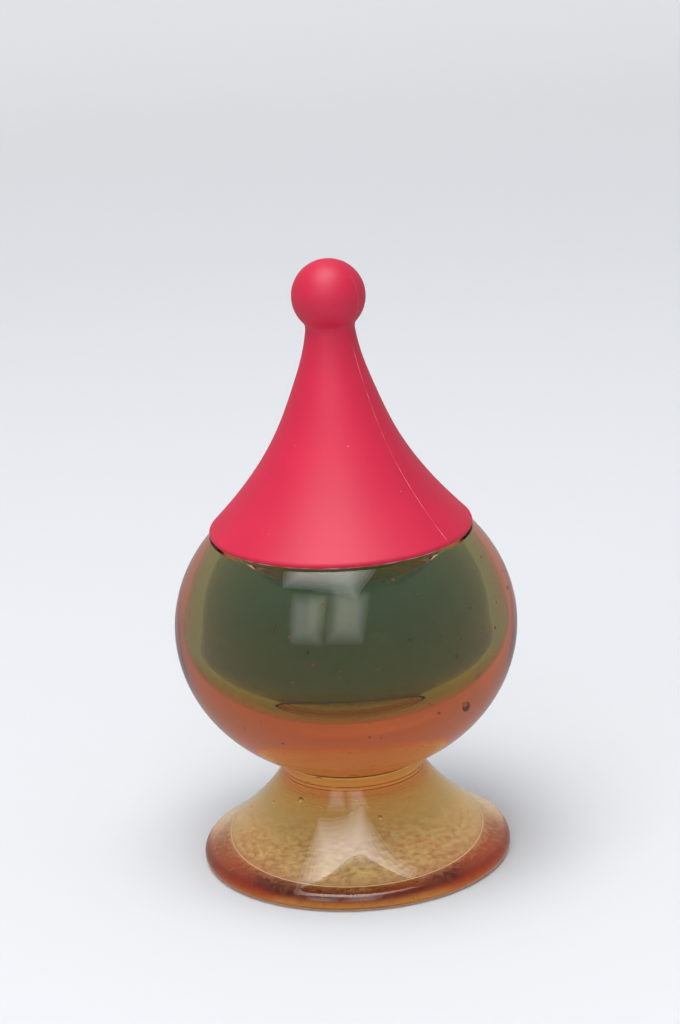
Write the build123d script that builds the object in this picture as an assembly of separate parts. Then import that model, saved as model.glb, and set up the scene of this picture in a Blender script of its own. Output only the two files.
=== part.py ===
"""Perfume atomiser: a thick glass bottle on a flared foot, a crimped fine-mist pump and a pull-off pointed cap.

Millimetres. +Z up, origin at the centre of the plane the foot rests on, spray nozzle facing -Y.
Most pieces are turned about Z, so an outline is half a section: its x is the radius, its y the height.
"""

import os
from math import acos, asin, cos, degrees, radians, sin, sqrt

from build123d import *

# ---- Bottle ---------------------------------------------------------------------------------
bowl_radius = 31.0  # widest outside radius of the bowl, which is an upright ellipse turned about Z
bowl_half_height = 27.3
side_wall = 11.6  # glass between cavity and outside, at the widest level
roof_wall = 9.7  # glass over the cavity, measured to the full ellipse of the bowl
floor_wall = 16.3  # glass under the cavity, measured the same way
cavity_band = 2.5  # straight part of the cavity's side, under its widest level
foot_radius = 28.3
foot_height = 19.4  # floor to the level where the bowl starts
waist_radius = 13.0
waist_band = 1.4  # upright band between flare and bowl
waist_crease = 0.9  # fillet where the bowl meets the band
lower_edge = 1.2  # rounding under the foot's rim
upper_edge = 2.2  # rounding over the foot's rim
crown_angle = 60.0  # how far the upper rounding turns before the flare takes over
flare_reach = 6.8  # how long the flare follows the slope it starts with
flare_rise = 3.1  # how long it stands upright below the band
punt_radius = 20.5  # shallow hollow under the foot
punt_depth = 2.2
seat_radius = 23.6  # the bowl is cut off here, as a ledge for the cap's rim
seat_width = 2.6
shoulder_rise = 4.0  # ledge to the root of the neck

# ---- Neck finish, 15 mm crimp ---------------------------------------------------------------
neck_height = 7.2
neck_radius = 6.55
bead_radius = 7.4
bead_height = 3.9
bore_radius = 4.75
lip_round = 0.5

# ---- Perfume --------------------------------------------------------------------------------
ullage = 18.1  # top of the neck down to the level of the perfume
fill_gap = 0.05  # between the perfume and what it wets

# ---- Pump: housing --------------------------------------------------------------------------
gasket_thickness = 0.8
flange_inset = 0.3  # flange and gasket inside the bead's outside
flange_thickness = 0.9
plug_length = 2.4  # centring plug in the neck
plug_gap = 0.15
turret_radius = 3.6
turret_height = 3.0
turret_wall = 0.7
chamber_radius = 2.35
barrel_wall = 0.95
bush_length = 3.3
bush_rim = 0.5
cage_play = 0.3  # radial, round the inlet ball
cage_wall = 1.0
tail_wall = 0.77
socket_length = 3.2
inlet_radius = 0.5
inlet_length = 0.5

# ---- Pump: moving parts ---------------------------------------------------------------------
stroke = 4.0
piston_lag = 0.5  # how far the piston slides on its rod to open the outlet
stop_gap = 0.1
stem_radius = 1.3
stem_wall = 0.8
shoulder_width = 0.6
shoulder_thickness = 0.6
socket_wall = 0.37  # of the stem, round the rod
rod_wall = 0.45
rod_spigot = 1.5  # how far the rod goes up into the stem
rod_head_play = 0.55  # between the rod's head and the chamber
rod_head_thickness = 1.6
rod_pilot_play = 0.35  # between the pilot and the return spring
rod_pilot_length = 0.8
port_radius = 0.28
port_height = 0.45  # centre of the cross hole above the rod's seat
piston_length = 3.4
piston_lip = 0.6
piston_relief = 0.25
piston_pocket_wall = 0.4
piston_pocket_depth = 1.5
return_spring_length = 7.2
return_spring_inset = 0.8  # middle of the wire inside the chamber's wall
return_spring_wire = 0.32
return_spring_turns = 6.0
piston_spring_wire = 0.25
piston_spring_turns = 3.0
ball_radius = 1.0  # inlet ball
ball_lift = 0.6
nub_height = 0.5
nub_inner_radius = 0.8
nub_width = 0.6
nub_count = 3

# ---- Dip tube -------------------------------------------------------------------------------
tube_radius = 0.9
tube_bore = 0.55
tube_floor_gap = 1.0
notch_angle = 45.0

# ---- Ferrule and collar ---------------------------------------------------------------------
ferrule_sheet = 0.35
insert_wall = 0.5
insert_top = 0.5
collar_sheet = 0.4
collar_overlap = 0.8  # how far the collar hides the button's lower edge
collar_edge = 0.8
collar_window_gap = 0.35
collar_floor_gap = 0.35

# ---- Button ---------------------------------------------------------------------------------
core_wall = 0.72  # of the core's skirt round the turret
button_height = 8.0
button_sheet = 0.35
button_edge = 1.2
dish_radius = 4.0
dish_depth = 0.5
press_gap = 0.25  # left under the button at the end of its stroke
stem_grip = 2.6  # how far the stem goes into the button
skirt_gap = 0.3
nozzle_drop = 3.1  # button top down to the nozzle's axis
nozzle_radius = 1.6
nozzle_length = 2.0
nozzle_wall = 0.45
nozzle_face = 0.45
orifice_radius = 0.15
orifice_flare = 0.45
orifice_flare_depth = 0.3
post_radius = 0.8
feed_radius = 0.3
pocket_floor_gap = 0.3

# ---- Cap ------------------------------------------------------------------------------------
cap_wall = 1.3
rim_overhang = 0.0  # how far the rim stands out over the ledge
rim_edge = 0.7
rim_angle = 46.0  # slope of the cone where it leaves the rim, above the horizontal
waist_angle = 85.0  # slope where it reaches the narrow neck under the ball
cap_collar_gap = 0.35
cap_button_gap = 0.75
tip_room = 12.1  # button top to the narrow neck under the ball
tip_solid = 5.0  # solid plastic below that narrow neck
cap_waist_radius = 4.3
cap_waist_fillet = 1.4
knob_radius = 6.55
sleeve_wall = 1.0
sleeve_drop = 4.0  # how far the liner's sleeve ends below the collar's top
web_lift = 1.5
web_thickness = 1.1
rib_count = 6
rib_thickness = 0.8
rib_height = 6.0
crush_bead_count = 3
crush_bead_radius = 0.3

# ---- Fits -----------------------------------------------------------------------------------
seat_gap = 0.3  # between a resting cap and the glass
slip = 0.05  # radial, between pieces that slide or are assembled by hand
running = 0.03  # radial, between the pump's sliding pieces

# ---- Radii that follow from the sizes above -------------------------------------------------
flange_radius = bead_radius - flange_inset
ferrule_radius = bead_radius + slip + ferrule_sheet
ferrule_turret_radius = turret_radius + slip + ferrule_sheet
collar_radius = ferrule_radius + slip + insert_wall + running + collar_sheet
bush_radius = turret_radius - turret_wall
barrel_radius = chamber_radius + barrel_wall
cage_bore = ball_radius + cage_play
cage_radius = cage_bore + cage_wall
tail_radius = tube_radius + running + tail_wall
stem_channel = stem_radius - stem_wall
shoulder_radius = stem_radius + shoulder_width
rod_radius = stem_radius - socket_wall - running
rod_channel = rod_radius - rod_wall
rod_head_radius = chamber_radius - rod_head_play
return_spring_radius = chamber_radius - return_spring_inset
rod_pilot_radius = return_spring_radius - return_spring_wire / 2 - rod_pilot_play
piston_pocket_radius = chamber_radius - piston_pocket_wall
piston_spring_radius = (rod_radius + piston_pocket_radius) / 2
core_radius = ferrule_turret_radius + skirt_gap + core_wall
button_radius = core_radius + running + button_sheet
sleeve_radius = collar_radius + slip
rim_radius = seat_radius + rim_overhang

# ---- Levels that follow from the sizes above ------------------------------------------------
bowl_centre_z = foot_height + bowl_half_height * sqrt(1 - (waist_radius / bowl_radius) ** 2)
cavity_radius = bowl_radius - side_wall
cavity_rise = bowl_half_height - roof_wall
cavity_depth = bowl_half_height - floor_wall
cavity_floor_z = bowl_centre_z - cavity_depth
seat_z = bowl_centre_z + bowl_half_height * sqrt(1 - (seat_radius / bowl_radius) ** 2)
root_z = seat_z + shoulder_rise
neck_top_z = root_z + neck_height
bead_low_z = neck_top_z - bead_height
level_z = neck_top_z - ullage

flange_low_z = neck_top_z + gasket_thickness
flange_top_z = flange_low_z + flange_thickness
turret_top_z = flange_top_z + turret_height
bush_low_z = turret_top_z - bush_length
bush_top_z = turret_top_z + bush_rim
shoulder_low_z = bush_low_z - stop_gap - shoulder_thickness
piston_top_z = shoulder_low_z - piston_lag - running
rod_seat_z = piston_top_z - piston_length
rod_head_low_z = rod_seat_z - rod_head_thickness
chamber_floor_z = rod_head_low_z - return_spring_length
nub_low_z = chamber_floor_z - nub_height
ball_z = nub_low_z - slip - ball_lift - ball_radius
inlet_top_z = ball_z - (sqrt(2) * (ball_radius + running) - inlet_radius)
socket_top_z = inlet_top_z - inlet_length
tail_low_z = socket_top_z - socket_length

plate_low_z = flange_top_z + running
plate_top_z = plate_low_z + ferrule_sheet
ferrule_top_z = bush_top_z + running + ferrule_sheet
insert_low_z = root_z + collar_floor_gap
insert_top_z = plate_top_z + running + insert_top

button_low_z = insert_top_z + press_gap + stroke
button_top_z = button_low_z + button_height
core_top_z = button_top_z - button_sheet - running
skirt_top_z = ferrule_top_z + press_gap + stroke
stem_top_z = skirt_top_z + stem_grip
nozzle_z = button_top_z - nozzle_drop
collar_top_z = button_low_z + collar_overlap

rim_low_z = seat_z + seat_gap
cap_waist_z = button_top_z + tip_room
knob_z = cap_waist_z + sqrt(knob_radius**2 - cap_waist_radius**2)
cap_core_top_z = cap_waist_z - tip_solid
sleeve_top_z = collar_top_z - sleeve_drop
web_low_z = insert_low_z + web_lift
web_top_z = web_low_z + web_thickness


def turned(*edges):
    """The solid that a closed half section makes when it is turned about Z."""
    return revolve(Plane.XZ * make_face(edges), Axis.Z)


def turned_points(*points):
    """The same, from the corners of the half section."""
    return turned(Polyline(*points, close=True))


def ring(inner, outer, low, high):
    """A plain ring between two radii and two levels."""
    return turned_points((inner, low), (outer, low), (outer, high), (inner, high))


def rod(radius, low, high):
    """A plain upright rod on the axis."""
    return Pos(0, 0, (low + high) / 2) * Cylinder(radius, high - low)


def rod_along_y(radius, start, end, height):
    """A plain rod that runs along Y, from one y to the other, at a height."""
    return Pos(0, (start + end) / 2, height) * Rot(90, 0, 0) * Cylinder(radius, abs(end - start))


def spring(radius, wire, turns, low, high):
    """An open coil that just fits between two levels."""
    rise = high - low - wire
    path = Pos(0, 0, low + wire / 2) * Helix(rise / turns, rise, radius)
    section = Plane(origin=path @ 0, z_dir=path % 0) * Circle(wire / 2)
    return sweep(section, path, is_frenet=True)


# ---- Glass, perfume and dip tube ------------------------------------------------------------
def foot_edges():
    """The foot's half section, from the middle of the hollow underneath to the top of the waist band."""
    hollow_radius = (punt_radius**2 + punt_depth**2) / (2 * punt_depth)
    hollow_angle = degrees(asin(punt_radius / hollow_radius))
    toe = foot_radius - lower_edge
    hollow = CenterArc((0, punt_depth - hollow_radius), hollow_radius, 90 - hollow_angle, hollow_angle)
    base = Line((punt_radius, 0), (toe, 0))
    under = CenterArc((toe, lower_edge), lower_edge, -90, 90)
    over = CenterArc((foot_radius - upper_edge, lower_edge), upper_edge, 0, crown_angle)
    crown = over @ 1
    slope = over % 1
    band_low_z = foot_height - waist_band
    flare = Bezier(
        crown,
        crown + slope * flare_reach,
        (waist_radius, band_low_z - flare_rise),
        (waist_radius, band_low_z),
    )
    band = Line((waist_radius, band_low_z), (waist_radius, foot_height))
    return [hollow, base, under, over, flare, band]


def bottle():
    bowl = bowl_arc(
        bowl_radius,
        bowl_half_height,
        -degrees(acos(waist_radius / bowl_radius)),
        degrees(acos(seat_radius / bowl_radius)),
    )
    bead_run = bead_radius - neck_radius
    neck = Polyline(
        (seat_radius, seat_z),
        (seat_radius - seat_width, seat_z),
        (neck_radius, root_z),
        (neck_radius, bead_low_z),
        (bead_radius, bead_low_z + bead_run),
        (bead_radius, neck_top_z - lip_round),
        (bead_radius - lip_round, neck_top_z),
        (bore_radius + lip_round, neck_top_z),
        (bore_radius, neck_top_z - lip_round),
        (bore_radius, cavity_height_at(bore_radius, 0)),
    )
    roof = bowl_arc(cavity_radius, cavity_rise, 0, degrees(acos(bore_radius / cavity_radius)))
    axis = Line((0, cavity_floor_z), (0, punt_depth))
    glass = turned(*foot_edges(), bowl, neck, roof, *cavity_low(0), axis)
    crease = [
        edge
        for edge in glass.edges().filter_by(GeomType.CIRCLE)
        if abs(edge.radius - waist_radius) < 1e-3 and abs(edge.center().Z - foot_height) < 1e-3
    ]
    return fillet(crease, waist_crease)


def bowl_arc(radius, half_height, start, end, drop=0):
    """Part of an ellipse about the bowl's centre, or about a point so far under it, between two
    angles from the horizontal."""
    centre = (0, bowl_centre_z - drop)
    # an ellipse that is taller than wide is turned half round, so that no arc runs over its start
    turn = 180 if half_height > radius else 0
    return EllipticalCenterArc(
        centre, radius, half_height, start_angle=start + turn, arc_size=end - start, rotation=turn
    )


def cavity_low(gap):
    """The cavity's lower half, drawn in by a gap."""
    radius = cavity_radius - gap
    floor = bowl_arc(radius, cavity_depth - cavity_band - gap, -90, 0, cavity_band)
    return floor, Line((radius, bowl_centre_z - cavity_band), (radius, bowl_centre_z))


def cavity_height_at(radius, gap):
    """Level of the cavity's roof at a radius, drawn in by a gap."""
    share = radius / (cavity_radius - gap)
    return bowl_centre_z + (cavity_rise - gap) * sqrt(1 - share**2)


def perfume():
    """What the cavity holds up to its level, round the dip tube and the pump's tail."""
    radius = cavity_radius - fill_gap
    rise = (level_z - bowl_centre_z) / (cavity_rise - fill_gap)
    roof = bowl_arc(radius, cavity_rise - fill_gap, 0, degrees(asin(rise)))
    surface = Line((radius * sqrt(1 - rise**2), level_z), (0, level_z))
    axis = Line((0, level_z), (0, cavity_floor_z + fill_gap))
    tube_room = rod(tube_radius + fill_gap, tube_low_z() - fill_gap, level_z)
    return turned(*cavity_low(fill_gap), roof, surface, axis) - pump_outside(fill_gap) - tube_room


def tube_low_z():
    return cavity_floor_z + tube_floor_gap


def dip_tube():
    """A straight tube, notched across its lower end so that it never seals against the glass."""
    top_z = socket_top_z - running
    tube = ring(tube_bore, tube_radius, tube_low_z(), top_z)
    half_width = 2 * tube_radius
    notch = extrude(
        Plane.XZ
        * make_face(
            Polyline(
                (-half_width, tube_low_z() - half_width + tube_radius),
                (half_width, tube_low_z() - half_width + tube_radius),
                (0, tube_low_z() + tube_radius * sin(radians(notch_angle))),
                close=True,
            )
        ),
        amount=half_width,
        both=True,
    )
    return tube - notch


# ---- Pump -----------------------------------------------------------------------------------
def neck_gasket():
    return ring(bore_radius + slip, flange_radius, neck_top_z, flange_low_z)


def pump_outside(gap):
    """The housing's outer shape as one turned solid, grown by a gap. Nothing is cut out of it."""
    plug_radius = bore_radius - plug_gap
    plug_low_z = flange_low_z - plug_length
    barrel_low_z = chamber_floor_z - (barrel_radius - cage_radius) / 2
    return turned_points(
        (0, tail_low_z - gap),
        (tail_radius + gap, tail_low_z - gap),
        (tail_radius + gap, socket_top_z - gap),
        (cage_radius + gap, socket_top_z + cage_radius - tail_radius - gap),
        (cage_radius + gap, barrel_low_z - gap),
        (barrel_radius + gap, chamber_floor_z + (barrel_radius - cage_radius) / 2 - gap),
        (barrel_radius + gap, plug_low_z - gap),
        (plug_radius + gap, plug_low_z + plug_radius - barrel_radius - gap),
        (plug_radius + gap, flange_low_z - gap),
        (flange_radius + gap, flange_low_z - gap),
        (flange_radius + gap, flange_top_z + gap),
        (turret_radius + gap, flange_top_z + gap),
        (turret_radius + gap, turret_top_z + gap),
        (0, turret_top_z + gap),
    )


def pump_body():
    """Housing with a stepped bore: bush seat, piston chamber, ball cage with its cone, inlet and tube socket."""
    cone_top_z = inlet_top_z + cage_bore - inlet_radius
    bores = turned_points(
        (0, tail_low_z),
        (tube_radius + running, tail_low_z),
        (tube_radius + running, socket_top_z),
        (inlet_radius, socket_top_z),
        (inlet_radius, inlet_top_z),
        (cage_bore, cone_top_z),
        (cage_bore, chamber_floor_z),
        (chamber_radius, chamber_floor_z),
        (chamber_radius, bush_low_z),
        (bush_radius, bush_low_z),
        (bush_radius, turret_top_z),
        (0, turret_top_z),
    )
    body = pump_outside(0) - bores
    nub_length = cage_bore - nub_inner_radius + slip
    for spot in PolarLocations(nub_inner_radius + nub_length / 2, nub_count):
        nub = Box(nub_length, nub_width, nub_height)
        body += Pos(0, 0, nub_low_z + nub_height / 2) * spot * nub
    return body


def inlet_ball():
    return Pos(0, 0, ball_z) * Sphere(ball_radius)


def return_spring():
    return spring(
        return_spring_radius, return_spring_wire, return_spring_turns, chamber_floor_z, rod_head_low_z
    )


def piston_rod():
    """Rod with the piston's seat on its head, a blind channel and a cross hole that the piston covers."""
    spigot_top_z = shoulder_low_z + rod_spigot
    port_z = rod_seat_z + port_height
    solid = turned_points(
        (0, rod_head_low_z - rod_pilot_length),
        (rod_pilot_radius, rod_head_low_z - rod_pilot_length),
        (rod_pilot_radius, rod_head_low_z),
        (rod_head_radius, rod_head_low_z),
        (rod_head_radius, rod_seat_z),
        (rod_radius, rod_seat_z),
        (rod_radius, spigot_top_z),
        (0, spigot_top_z),
    )
    channel = rod(rod_channel, port_z, spigot_top_z)
    return solid - channel - rod_along_y(port_radius, -rod_radius, rod_radius, port_z)


def main_piston():
    """Sleeve with a sealing lip at each end, and a pocket for its own spring."""
    outer = chamber_radius - running
    low_z = rod_seat_z + running
    inner = rod_radius + running
    return turned_points(
        (inner, low_z),
        (outer, low_z),
        (outer, low_z + piston_lip),
        (outer - piston_relief, low_z + piston_lip + piston_relief),
        (outer - piston_relief, piston_top_z - piston_lip - piston_relief),
        (outer, piston_top_z - piston_lip),
        (outer, piston_top_z),
        (piston_pocket_radius, piston_top_z),
        (piston_pocket_radius, piston_top_z - piston_pocket_depth),
        (inner, piston_top_z - piston_pocket_depth),
    )


def piston_spring():
    return spring(
        piston_spring_radius,
        piston_spring_wire,
        piston_spring_turns,
        piston_top_z - piston_pocket_depth,
        shoulder_low_z,
    )


def spray_stem():
    """Hollow stem with the shoulder that stops it under the bush."""
    outside = turned_points(
        (0, shoulder_low_z),
        (shoulder_radius, shoulder_low_z),
        (shoulder_radius, shoulder_low_z + shoulder_thickness),
        (stem_radius, shoulder_low_z + shoulder_thickness),
        (stem_radius, stem_top_z),
        (0, stem_top_z),
    )
    spigot_room = rod(rod_radius + running, shoulder_low_z, shoulder_low_z + rod_spigot)
    return outside - rod(stem_channel, shoulder_low_z, stem_top_z) - spigot_room


def stem_bush():
    """Guide for the stem, pressed into the top of the housing, and the stop for its upstroke."""
    bush = ring(stem_radius + slip, bush_radius - running, bush_low_z, bush_top_z)
    return bush + ring(stem_radius + slip, turret_radius, turret_top_z, bush_top_z)


# ---- Ferrule and collar ---------------------------------------------------------------------
def crimp_ferrule():
    """Thin aluminium cup: turret over the bush, plate over the flange, wall round the bead, lip under it."""
    wall_inner = ferrule_radius - ferrule_sheet
    turret_inner = ferrule_turret_radius - ferrule_sheet
    window = stem_radius + skirt_gap
    lip_drop = bead_radius - neck_radius
    lip_inner = neck_radius + skirt_gap
    return turned_points(
        (window, ferrule_top_z - ferrule_sheet),
        (turret_inner, ferrule_top_z - ferrule_sheet),
        (turret_inner, plate_low_z),
        (wall_inner, plate_low_z),
        (wall_inner, bead_low_z + lip_drop - slip),
        (lip_inner, bead_low_z - skirt_gap),
        (lip_inner + ferrule_sheet, bead_low_z - skirt_gap - ferrule_sheet),
        (ferrule_radius, bead_low_z + skirt_gap),
        (ferrule_radius, plate_top_z),
        (ferrule_turret_radius, plate_top_z),
        (ferrule_turret_radius, ferrule_top_z),
        (window, ferrule_top_z),
    )


def collar_insert():
    """Plastic ring that centres the metal collar on the ferrule."""
    inner = ferrule_radius + slip
    outer = collar_radius - collar_sheet - running
    window = ferrule_turret_radius + skirt_gap
    return turned_points(
        (inner, insert_low_z),
        (outer, insert_low_z),
        (outer, insert_top_z),
        (window, insert_top_z),
        (window, plate_top_z + running),
        (inner, plate_top_z + running),
    )


def collar():
    """Polished metal sleeve that hides the ferrule and the button's lower edge."""
    inner = collar_radius - collar_sheet
    window = button_radius + collar_window_gap
    bend = collar_edge - collar_sheet
    low_z = insert_low_z
    corner_z = collar_top_z - collar_edge
    outline = [
        Line((inner, low_z), (collar_radius, low_z)),
        Line((collar_radius, low_z), (collar_radius, corner_z)),
        CenterArc((collar_radius - collar_edge, corner_z), collar_edge, 0, 90),
        Line((collar_radius - collar_edge, collar_top_z), (window, collar_top_z)),
        Line((window, collar_top_z), (window, collar_top_z - collar_sheet)),
        Line((window, collar_top_z - collar_sheet), (inner - bend, collar_top_z - collar_sheet)),
        CenterArc((inner - bend, corner_z), bend, 0, 90),
        Line((inner, corner_z), (inner, low_z)),
    ]
    return turned(*outline)


# ---- Button ---------------------------------------------------------------------------------
def button_outside(drawn_in):
    """The button's outer shape with its finger dish, drawn in by a wall thickness on the side and the top."""
    radius = button_radius - drawn_in
    top_z = button_top_z - drawn_in
    edge = button_edge - drawn_in
    dish_edge = min(dish_radius, radius - edge)
    dish_curve = (dish_edge**2 + dish_depth**2) / (2 * dish_depth)
    dish_angle = degrees(asin(dish_edge / dish_curve))
    dish_centre_z = top_z - dish_depth + dish_curve
    outline = [
        Line((0, button_low_z), (radius, button_low_z)),
        Line((radius, button_low_z), (radius, top_z - edge)),
        CenterArc((radius - edge, top_z - edge), edge, 0, 90),
        CenterArc((0, dish_centre_z), dish_curve, -90, dish_angle),
        Line((0, top_z - dish_depth), (0, button_low_z)),
    ]
    if radius - edge - dish_edge > 1e-6:
        outline.append(Line((radius - edge, top_z), (dish_edge, top_z)))
    return turned(*outline)


def nozzle_room(radius, depth_from_axis):
    """A round pocket in the button's front, centred on the nozzle's axis."""
    return rod_along_y(radius, -depth_from_axis, -2 * button_radius, nozzle_z)


def button_shell():
    shell = button_outside(0) - button_outside(button_sheet)
    return shell - nozzle_room(nozzle_radius + slip, 0)


def button_core():
    """Moulded core: skirt round the turret, stem socket, feed ducts, and the post inside the nozzle's pocket."""
    pocket_floor = core_radius - nozzle_length - pocket_floor_gap
    post_tip = core_radius - nozzle_face - running
    feed_z = nozzle_z + (post_radius + nozzle_radius - nozzle_wall) / 2
    feed_top_z = feed_z + feed_radius
    core = button_outside(button_sheet + running)
    core -= rod(ferrule_turret_radius + skirt_gap, button_low_z, skirt_top_z)
    core -= rod(stem_radius + running, skirt_top_z, stem_top_z)
    core -= rod(feed_radius, stem_top_z, feed_top_z)
    core -= rod_along_y(feed_radius, 0, -pocket_floor - pocket_floor_gap, feed_z)
    core -= nozzle_room(nozzle_radius + running, pocket_floor)
    return core + rod_along_y(post_radius, -pocket_floor + running, -post_tip, nozzle_z)


def spray_nozzle():
    """Small cup with the spray orifice in its face, pushed over the post."""
    front = -core_radius
    cup = rod_along_y(nozzle_radius, front, front + nozzle_length, nozzle_z)
    cup -= rod_along_y(nozzle_radius - nozzle_wall, front + nozzle_face, front + nozzle_length, nozzle_z)
    cup -= rod_along_y(orifice_radius, front, front + nozzle_face, nozzle_z)
    flare = Cone(orifice_radius, orifice_flare, orifice_flare_depth)
    return cup - Pos(0, front + orifice_flare_depth / 2, nozzle_z) * Rot(90, 0, 0) * flare


# ---- Cap ------------------------------------------------------------------------------------
def cone_points(drawn_in):
    """Where the cone passes: its rim, clear of the collar, clear of the button, and its narrow neck.

    Each point is given on the outside and drawn in square to the surface.
    """
    start_angle = radians(rim_angle)
    end_angle = radians(waist_angle)
    start = Vector(
        rim_radius - rim_edge + rim_edge * sin(start_angle),
        rim_low_z + rim_edge + rim_edge * cos(start_angle),
    )
    end = Vector(cap_waist_radius, cap_waist_z)
    by_collar = Vector(collar_radius + cap_collar_gap, collar_top_z)
    by_button = Vector(button_radius + cap_button_gap, button_top_z)
    ways = [
        Vector(-cos(start_angle), sin(start_angle)),
        (by_button - start).normalized(),
        (end - by_collar).normalized(),
        Vector(-cos(end_angle), sin(end_angle)),
    ]
    outward = [Vector(way.Y, -way.X) for way in ways]
    outside = [start, by_collar + outward[1] * cap_wall, by_button + outward[2] * cap_wall, end]
    points = [point - normal * drawn_in for point, normal in zip(outside, outward)]
    return points, ways[0], ways[-1]


def cone_curve(drawn_in):
    points, start_way, end_way = cone_points(drawn_in)
    return Spline(*points, tangents=[start_way, end_way])


def cap_outside():
    """Cone from its rounded rim to the narrow neck, and the ball on top."""
    cone = cone_curve(0)
    rim_centre = (rim_radius - rim_edge, rim_low_z + rim_edge)
    rim = CenterArc(rim_centre, rim_edge, -90, 180 - rim_angle)
    under = Line((0, rim_low_z), (rim_radius - rim_edge, rim_low_z))
    knob_start = degrees(asin((cap_waist_z - knob_z) / knob_radius))
    knob = CenterArc((0, knob_z), knob_radius, knob_start, 90 - knob_start)
    axis = Line((0, knob_z + knob_radius), (0, rim_low_z))
    solid = turned(under, rim, cone, knob, axis)
    waist = [
        edge
        for edge in solid.edges().filter_by(GeomType.CIRCLE)
        if abs(edge.radius - cap_waist_radius) < 1e-3
    ]
    return fillet(waist, cap_waist_fillet)


def cap_room(drawn_in, low_z, high_z):
    """The space inside the cone between two levels, drawn in from the outside by a wall thickness."""
    cone = cone_curve(drawn_in)
    lead = cone @ 0 - (cone % 0) * rim_radius / 2
    sides = [
        Line((0, lead.Y), lead),
        Line(lead, cone @ 0),
        cone,
        Line(cone @ 1, (0, (cone @ 1).Y)),
        Line((0, (cone @ 1).Y), (0, lead.Y)),
    ]
    return turned(*sides) & ring(0, 2 * rim_radius, low_z, high_z)


def cap_shell():
    """The one moulding that shows: rim, cone, solid tip and ball."""
    return cap_outside() - cap_room(cap_wall, rim_low_z - rim_edge, cap_core_top_z)


def cap_liner():
    """Inner moulding: a sleeve that slides on the collar, a web to the cone's wall, and ribs above it."""
    wall = cap_wall + running
    outer = sleeve_radius + sleeve_wall
    liner = ring(sleeve_radius, outer, insert_low_z, sleeve_top_z)
    liner += cap_room(wall, web_low_z, web_top_z) - rod(outer - slip, web_low_z, web_top_z)
    rib_top_z = web_top_z + rib_height
    rib_space = cap_room(wall, web_top_z - slip, rib_top_z) - rod(outer - slip, web_low_z, rib_top_z)
    for spot in PolarLocations(rim_radius / 2, rib_count):
        rib = Box(rim_radius, rib_thickness, rib_top_z - web_low_z)
        liner += (Pos(0, 0, (web_low_z + rib_top_z) / 2) * spot * rib) & rib_space
    for spot in PolarLocations(outer, crush_bead_count, start_angle=180 / rib_count):
        bead = Cylinder(crush_bead_radius, sleeve_top_z - web_top_z)
        liner += Pos(0, 0, (sleeve_top_z + web_top_z) / 2) * spot * bead
    return liner


PIECES = {
    "bottle": bottle,
    "perfume": perfume,
    "dip_tube": dip_tube,
    "neck_gasket": neck_gasket,
    "pump_body": pump_body,
    "inlet_ball": inlet_ball,
    "return_spring": return_spring,
    "piston_rod": piston_rod,
    "main_piston": main_piston,
    "piston_spring": piston_spring,
    "spray_stem": spray_stem,
    "stem_bush": stem_bush,
    "crimp_ferrule": crimp_ferrule,
    "collar_insert": collar_insert,
    "collar": collar,
    "button_core": button_core,
    "button_shell": button_shell,
    "spray_nozzle": spray_nozzle,
    "cap_liner": cap_liner,
    "cap_shell": cap_shell,
}

os.makedirs("parts", exist_ok=True)
for name, make in PIECES.items():
    export_step(make(), f"parts/{name}.step")
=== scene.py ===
"""Looks of the perfume atomiser: amber glass bottle, olive perfume, crimson cap, gold spray pump.

Lengths in the helper outlines are millimetres, as in the CAD part; everything in Blender is metres.
"""

import math
import random

import bmesh
import bpy
import numpy as np
from mathutils import Matrix, Vector


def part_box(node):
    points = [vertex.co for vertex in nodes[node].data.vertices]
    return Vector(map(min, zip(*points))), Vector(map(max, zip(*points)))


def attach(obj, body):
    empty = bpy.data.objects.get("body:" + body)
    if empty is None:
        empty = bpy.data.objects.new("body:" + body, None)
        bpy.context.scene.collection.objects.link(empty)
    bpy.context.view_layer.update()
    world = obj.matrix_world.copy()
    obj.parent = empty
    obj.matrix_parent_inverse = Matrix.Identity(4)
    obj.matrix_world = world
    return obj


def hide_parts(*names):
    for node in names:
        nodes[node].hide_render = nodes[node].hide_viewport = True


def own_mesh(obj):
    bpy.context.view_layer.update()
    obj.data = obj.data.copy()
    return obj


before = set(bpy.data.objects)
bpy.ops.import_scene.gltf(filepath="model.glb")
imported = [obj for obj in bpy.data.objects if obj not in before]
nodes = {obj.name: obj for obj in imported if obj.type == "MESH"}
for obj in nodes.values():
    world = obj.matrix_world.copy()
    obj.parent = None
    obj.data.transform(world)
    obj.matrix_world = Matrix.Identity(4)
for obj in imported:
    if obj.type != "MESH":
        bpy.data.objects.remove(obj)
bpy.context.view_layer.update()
MM = 0.001
SAME_POINT = 1e-4  # mm; outline points nearer than this are one

# ---- Camera and settings --------------------------------------------------------------------
scene = bpy.context.scene
scene.view_settings.view_transform = "Standard"

CAMERA_PLACE = (0.0, -0.5, 0.2221)
CAMERA_PITCH = 0.304  # radians below the horizontal
CAMERA_ROLL = math.radians(-3.1)  # the object leans a little to the left in the picture
LENS = 102.9
camera_data = bpy.data.cameras.new("camera")
camera_data.lens = LENS
camera_data.sensor_fit = "VERTICAL"
camera_data.sensor_height = 36
camera_data.clip_start = 0.01
camera = bpy.data.objects.new("camera", camera_data)
scene.collection.objects.link(camera)
camera.location = CAMERA_PLACE
camera.rotation_mode = "XYZ"
camera.rotation_euler = (math.pi / 2 - CAMERA_PITCH, 0, 0)
bpy.context.view_layer.update()
turn = camera.matrix_world.to_3x3() @ Vector((0, 0, 1))
roll = Matrix.Rotation(CAMERA_ROLL, 3, turn)
camera.rotation_euler = (roll @ camera.matrix_world.to_3x3()).to_euler()
scene.camera = camera

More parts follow.
